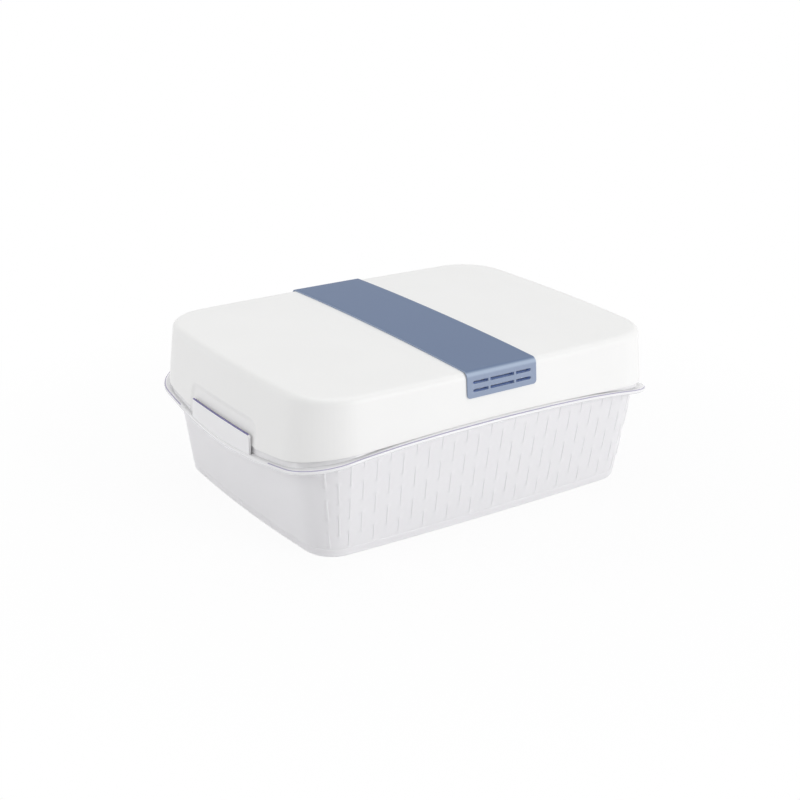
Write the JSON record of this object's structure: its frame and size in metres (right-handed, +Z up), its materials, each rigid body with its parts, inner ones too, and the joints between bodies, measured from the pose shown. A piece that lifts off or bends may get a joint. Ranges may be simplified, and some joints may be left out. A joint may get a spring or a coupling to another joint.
{
  "type": "food storage box",
  "caption": "Rounded food storage box: a clear ribbed tray with a wavy flange, a deep white lift-off lid with grip pockets, and a blue-grey slotted vent strip across the lid.",
  "frame": {"origin": "centre of the foot ring, on the surface that the box stands on", "axes": "+X along the length, +Y from the front long wall to the back, +Z up"},
  "size_m": [0.314, 0.239, 0.12],
  "materials": {
    "clear_plastic": "clear moulded plastic, faint lilac tint, polished",
    "white_plastic": "opaque white moulded plastic, fine satin texture",
    "blue_plastic": "blue-grey moulded plastic, satin"
  },
  "bodies": {
    "tray": {"tray": "clear_plastic"},
    "lid": {"lid": "white_plastic", "vent_strip": "blue_plastic"}
  },
  "joints": [
    {"name": "lid_lift", "type": "slide", "parent": "tray", "child": "lid", "axis": [0, 0, 1], "range_m": [0, 0.13]}
  ]
}
